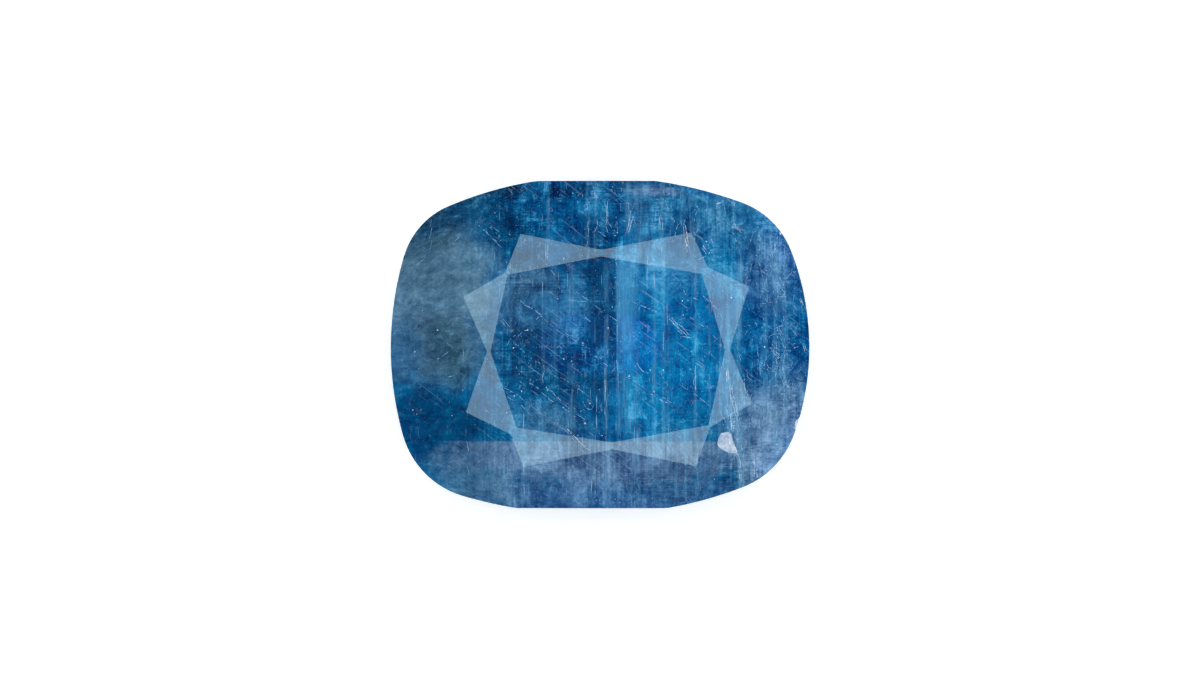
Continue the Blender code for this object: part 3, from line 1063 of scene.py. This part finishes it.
# %% One blade, one millimetre long
BLADE_SEED = 5
BLADE_ROUGHNESS = 0.10 * MM
BLADE_SHOULDER = 0.36 * MM
BLADE_END_WIDTH = 0.15
BLADE_THICKNESS = 0.1 * MM


def blade():
    put_down()
    bpy.ops.mesh.primitive_grid_add(x_subdivisions=9, y_subdivisions=2, size=1 * MM)
    sheet = bpy.context.object
    bpy.ops.object.mode_set(mode="EDIT")
    bpy.ops.mesh.select_all(action="SELECT")
    bpy.ops.transform.vertex_random(offset=BLADE_ROUGHNESS, seed=BLADE_SEED)
    bpy.ops.object.mode_set(mode="OBJECT")
    for vertex in sheet.data.vertices:
        vertex.select = abs(vertex.co.x) > BLADE_SHOULDER
    bpy.ops.object.mode_set(mode="EDIT")
    bpy.ops.transform.resize(value=(1.0, BLADE_END_WIDTH, 1.0))
    bpy.ops.object.mode_set(mode="OBJECT")
    wall = sheet.modifiers.new("wall", "SOLIDIFY")
    wall.thickness = BLADE_THICKNESS
    wall.offset = 0.0
    take(sheet)
    bpy.ops.object.modifier_apply(modifier="wall")
    return sheet


# Each streak: middle x, y; length; width; turn in degrees
STREAKS_MM = (
    (-0.63, -2.74, 1.03, 0.14, -44), (-2.69, 0.59, 0.31, 0.09, -50),
    (0.2, 3.61, 0.86, 0.09, -90), (-0.11, 4.24, 0.23, 0.09, -85),
    (-0.34, 3.99, 0.29, 0.06, -88), (0.86, 3.53, 0.91, 0.11, -103),
    (1.74, 3.41, 0.51, 0.09, -88), (2.46, 2.96, 0.91, 0.11, -84),
    (-1.51, 2.53, 0.57, 0.09, -90), (3.37, 3.99, 0.23, 0.09, 30),
    (3.91, 3.33, 0.31, 0.09, -40), (1.71, 2.7, 0.29, 0.09, -80),
    (2.29, 0.47, 0.8, 0.14, -45), (3.97, -3.24, 0.51, 0.11, -65),
    (4.03, -3.81, 0.34, 0.09, -80), (4.37, -3.41, 0.86, 0.11, -74),
    (5.03, 2.87, 0.4, 0.09, -100), (5.74, 1.24, 0.29, 0.07, -60),
    (5.86, -0.13, 0.26, 0.06, -65), (3.72, -1.3, 0.9, 0.12, -82),
    (3.85, -1.75, 0.8, 0.12, -75), (3.66, -1.0, 0.5, 0.1, -80),
    (3.82, -2.45, 0.9, 0.14, -78), (2.49, 2.8, 0.35, 0.12, -80),
    (2.96, 2.7, 0.3, 0.1, -60), (1.26, 2.8, 0.12, 0.06, 30),
    (1.66, 2.79, 0.1, 0.06, -60),
)
STREAK_SEED = 21
BLADES_PER_STREAK = 4


def streak_seats(streaks, seed, depth):
    draw = random.Random(seed)
    seats = []
    for x, y, length, width, degrees in streaks:
        turn = radians(degrees)
        for _ in range(BLADES_PER_STREAK):
            slide = draw.uniform(-0.32, 0.32) * length
            aside = draw.uniform(-0.5, 0.5) * width
            spot_x = x + cos(turn) * slide - sin(turn) * aside
            spot_y = y + sin(turn) * slide + cos(turn) * aside
            matrix = seat(spot_x, spot_y, depth * draw.uniform(0.3, 1.4),
                          turn + draw.uniform(-0.10, 0.10))
            if matrix is not None:
                seats.append(sized(matrix, length * draw.uniform(0.35, 0.7),
                                   width * draw.uniform(0.25, 0.6), 0.10))
    return seats


blades = streak_seats(STREAKS_MM, STREAK_SEED, depth=0.002)
scatter(blade(), blades, "feathers", silk_white)

# %% [markdown]
# Growth tubes
# Long straight tubes run across the stone's width, where growth left fine hollows. Each one is
# made like a needle, of longer rods with gaps between them.

# %% Growth tubes, long and straight
# Each tube: where it lies along the length, and its two ends across the width
TUBES_MM = (
    (-2.17, -1.8, -4.4), (-3.77, -2.8, -3.6), (-3.89, -0.2, -1.05), (-4.83, 3.5, 2.45),
    (0.49, 1.95, 0.1), (0.47, 0.1, -1.0), (0.17, -1.1, -4.5), (-0.14, -2.7, -4.4),
    (-0.24, -3.0, -4.3), (0.98, -2.5, -4.55), (1.08, -2.3, -4.6), (1.51, -2.6, -4.3),
    (2.17, -2.7, -3.9), (2.43, -2.7, -3.9), (2.77, -2.9, -4.0), (1.8, 0.3, -0.8),
    (1.91, 1.7, 0.6), (2.71, 0.1, -1.7), (3.1, -0.2, -1.2), (4.66, -1.0, -3.4),
    (5.03, -1.6, -2.9), (1.34, 2.4, 1.3), (1.54, 2.4, 1.6), (4.0, -2.9, -3.9),
    (-1.63, 2.1, 1.2), (-0.92, 2.2, 1.2), (0.14, -0.7, -2.4), (-0.1, -1.4, -2.5),
)
TUBE_SEED = 31
tubes = [(Vector((x, start)), Vector((x, stop))) for x, start, stop in TUBES_MM]
rods = line_seats(tubes, TUBE_SEED, pitch=0.30, width=0.010, keep=0.65, overlap=1.2)
scatter(needle(), rods, "growth_tubes", silk_blue)

# %% [markdown]
# Grains
# White specks are tiny crystals, some of them cut open by the polish. One grain is an uneven
# ball with few faces. The larger ones go where they are seen, and a fine dust of smaller ones
# is spread by a seeded draw over the crown, the pavilion and the girdle alike.


# %% One grain, one millimetre across
GRAIN_ROUGHNESS = 0.14 * MM
GRAIN_SHAPE = (1.2, 0.9, 0.8)


def grain(seed):
    put_down()
    bpy.ops.mesh.primitive_ico_sphere_add(subdivisions=1, radius=0.5 * MM)
    bpy.ops.object.mode_set(mode="EDIT")
    bpy.ops.mesh.select_all(action="SELECT")
    bpy.ops.transform.vertex_random(offset=GRAIN_ROUGHNESS, seed=seed)
    bpy.ops.transform.resize(value=GRAIN_SHAPE)
    bpy.ops.object.mode_set(mode="OBJECT")
    return bpy.context.object


# Specks: x, y, x, y and so on, in hundredths of a millimetre
SPECKS = (
    -326, 396, -257, 313, -283, 296, -103, 244, -94, 207, 43, 190, 111, 101, 131, 101, 117, 379,
    200, 304, 303, 293, 311, 259, 320, 241, 151, 241, 237, 84, 100, -61, 174, -30, 51, -87, 83,
    -90, 437, -90, -206, 41, -260, 13, -246, -10, -120, -7, -103, -41, -80, -47, -74, -79, -263,
    -127, -223, -133, -180, -247, 6, -259, 77, -350, -100, -419, -357, -421, -11, -444, 43, -441,
    149, -439, 326, -384, 537, -264, 486, -10, 523, 170, 523, -70, 469, -7, -483, -156, -534,
    -187, -523, -199, -391, -130, -429, -164, -517, -70, -463, 41, -529, -21, -509, 50, 537, -121,
    169, 7, 234, 124, -77, -56, -49, 4, 23, 47, -66, 79, 49, 319, 43, 310, 271, 384, 277, 393,
    506, 204, 374, 133, 454, 310, 420, 290, 143, -73, 140, -84, -149, -130, -97, -110, -29, -167,
    -43, -224, 180, -73, 234, -73, 257, -70, 320, -121, 329, -119,
)
SPECK_SIZE = 0.055
SPECK_DEPTH = 0.006
SPECK_SEED = 41
DUST_COUNT = 420
DUST_SIZE = 0.024
DUST_DEPTH_MM = 0.02
DUST_MIDDLE = Vector((0, 0, 3.2)) * MM


def speck_seats():
    draw = random.Random(SPECK_SEED)
    seats = []
    for spot in points_of(SPECKS):
        matrix = seat(spot.x, spot.y, SPECK_DEPTH, draw.uniform(0, tau))
        size = SPECK_SIZE * draw.uniform(0.6, 1.2)
        seats.append(sized(matrix, size, size * draw.uniform(0.5, 1.0), size * 0.4))
    return seats


def dust_seats():
    """Seats all round the stone, under the face that a ray from outside meets."""
    draw = random.Random(SPECK_SEED + 1)
    seats = []
    while len(seats) < DUST_COUNT:
        outward = Vector((draw.gauss(0, 1), draw.gauss(0, 1), draw.gauss(0, 1))).normalized()
        inner = DUST_MIDDLE + Vector((draw.uniform(-4, 4), draw.uniform(-3, 3), 0)) * MM
        hit, place, normal, _ = stone.ray_cast(inner + outward * RAY_START, -outward)
        if not hit:
            continue
        matrix = normal.to_track_quat("Z", "X").to_matrix().to_4x4()
        matrix.translation = place - normal * draw.uniform(0.0, DUST_DEPTH_MM) * MM
        size = DUST_SIZE * draw.uniform(0.4, 1.5)
        seats.append(sized(matrix, size, size, size * 0.5))
    return seats


scatter(grain(51), speck_seats(), "white_specks", silk_white)
scatter(grain(52), dust_seats(), "fine_dust", silk_white)

# %% Rusty and dark grains
# Each grain: place x, y; size
RUSTY_MM = ((-2.51, 0.39, 0.10), (-5.11, -1.87, 0.07))
GRAIN_DEPTH = 0.003
DARK_MM = ((-5.17, 0.53, 0.09), (0.10, -2.61, 0.07), (-1.94, -1.05, 0.04))


def grain_seats(rows, turn):
    return [sized(seat(x, y, GRAIN_DEPTH, turn), size, size * 0.8, size * 0.5)
            for x, y, size in rows]


scatter(grain(53), grain_seats(RUSTY_MM, 0.5), "rusty_grains", rusty_mineral)
scatter(grain(54), grain_seats(DARK_MM, 1.1), "dark_grains", dark_mineral)

# %% [markdown]
# The rose-grey patch
# Near the front right a flat crystal of another colour reaches the surface. It is drop-shaped,
# with seven soft corners. A disc's rim is pulled on to a smooth curve through those corners,
# and the disc is divided and given a little thickness.

# %% The rose-grey patch
PATCH_CORNERS_MM = (
    (3.43, -2.53), (3.34, -2.84), (3.57, -3.04), (3.86, -3.1), (3.91, -3.04), (3.8, -2.79),
    (3.69, -2.5),
)
PATCH_THICKNESS = 0.02 * MM

corners = [Vector(corner) for corner in PATCH_CORNERS_MM]
rim = smooth_line(corners + corners[:1])[:-1]
put_down()
bpy.ops.mesh.primitive_circle_add(vertices=len(rim), radius=0.25 * MM, fill_type="NGON")
rose_patch = bpy.context.object
for vertex, (x, y) in zip(rose_patch.data.vertices, rim):
    vertex.co = surface_at(x, y)[0] - Vector((0, 0, 0.5 * PATCH_THICKNESS))
bpy.ops.object.mode_set(mode="EDIT")
bpy.ops.mesh.select_all(action="SELECT")
bpy.ops.mesh.quads_convert_to_tris()
bpy.ops.mesh.subdivide(number_cuts=1)
bpy.ops.mesh.normals_make_consistent(inside=False)
bpy.ops.object.mode_set(mode="OBJECT")
thicken = rose_patch.modifiers.new("thicken", "SOLIDIFY")
thicken.thickness = PATCH_THICKNESS
thicken.offset = 0.0
take(rose_patch)
bpy.ops.object.modifier_apply(modifier="thicken")
finish_piece(rose_patch, "rose_patch", rose_mineral)

# %% [markdown]
# The studio
# The stone stands on a plain white table. A sapphire mirrors what is round it, so the light is
# planned by angle: the lens itself is dark, a soft ring round it lights the stone, a second
# ring is where the eight star facets send the eye, so they look pale, and the rest of the room
# is dim, so the other facets keep their deep blue. The stone throws a blue tinge on the table,
# so the table's paint is slightly warm, and the shadow comes out nearly grey.

# %% Floor
FLOOR_SIZE = 4.0
FLOOR_GLOW = 0.35
PAINT_DARK = (0.95, 0.88, 0.85)
PAINT_PALE = (0.97, 0.91, 0.88)

floor_paint, brush = new_material("white_table")
place = brush.put("TexCoord", {}, out="Object")
tone = brush.put("TexNoise", {"Vector": place, "Scale": 6.0, "Detail": 2.0})
colour = brush.blend(tone, PAINT_DARK, PAINT_PALE)
brush.surface(brush.put("BsdfPrincipled", {
    "Base Color": colour, "Roughness": 0.9, "Specular IOR Level": 0.1,
    "Emission Color": (1.0, 1.0, 1.0, 1.0), "Emission Strength": FLOOR_GLOW}))
put_down()
bpy.ops.mesh.primitive_plane_add(size=FLOOR_SIZE)
floor = bpy.context.object
floor.name = "white_table"
floor.data.materials.append(floor_paint)
print("table:", FLOOR_SIZE, "m across")

# %% Light by angle
# Rings of light: where each starts and ends, in degrees away from straight up, and its colour
LENS_RING = (3.5, 6.0, 19.0, 22.0)
LENS_LIGHT = (5.7, 5.15, 4.9)
STAR_RING = (21.0, 25.0, 38.0, 42.0)
STAR_LIGHT = (1.46, 2.02, 2.12)
HORIZON_RING = (86.0, 90.0, 190.0, 200.0)
HORIZON_LIGHT = (0.85, 0.86, 0.88)
ROOM_LIGHT = (0.012, 0.032, 0.052)
BACK_SIDE_GAIN = 1.2

world = bpy.data.worlds.new("studio")
bpy.context.scene.world = world
world.use_nodes = True
brush = Brush(world.node_tree)
direction = brush.put("TexCoord", {}, out="Generated")
parts = brush.parts(direction)
off_axis = brush.times(brush.put("Math", {0: parts[2]}, operation="ARCCOSINE"), 180 / pi)


def add_ring(sky, edges, light, gain=1.0):
    start, full, fade, end = edges
    share = brush.times(brush.rise(off_axis, start, full), brush.fall(off_axis, fade, end))
    share = brush.times(share, gain)
    return brush.put("VectorMath", {0: share, 1: light, 2: sky}, operation="MULTIPLY_ADD")


toward_back = brush.plus(brush.times(parts[1], BACK_SIDE_GAIN), 1.0)
sky = add_ring(ROOM_LIGHT, LENS_RING, LENS_LIGHT, toward_back)
sky = add_ring(sky, STAR_RING, STAR_LIGHT)
sky = add_ring(sky, HORIZON_RING, HORIZON_LIGHT)
background = brush.put("Background", {"Color": sky})
world_end = world.node_tree.nodes.new("ShaderNodeOutputWorld")
world.node_tree.links.new(background, world_end.inputs["Surface"])
print("light round the lens starts", LENS_RING[1], "degrees off the axis")

# %% [markdown]
# The camera
# The photograph looks straight down on the table through a long lens, with the long side of
# the stone level. A 300 mm lens far above gives the same flat view.

# %% Camera
FRAME_WIDTH = 34.29 * MM
GIRDLE_HEIGHT = 4.4 * MM
VIEW_CENTRE_Y = 0.17 * MM
LENS = 300.0
SENSOR = 36.0

camera_data = bpy.data.cameras.new("long_lens")
camera_data.lens = LENS
camera_data.sensor_width = SENSOR
camera_data.clip_start = 0.01
camera_data.clip_end = 20.0
camera = bpy.data.objects.new("long_lens", camera_data)
bpy.context.scene.collection.objects.link(camera)
camera.location = (0, VIEW_CENTRE_Y, GIRDLE_HEIGHT + FRAME_WIDTH * LENS / SENSOR)
bpy.context.scene.camera = camera
bpy.context.scene.view_settings.view_transform = "Standard"
print("camera height:", round(camera.location.z, 4), "m")
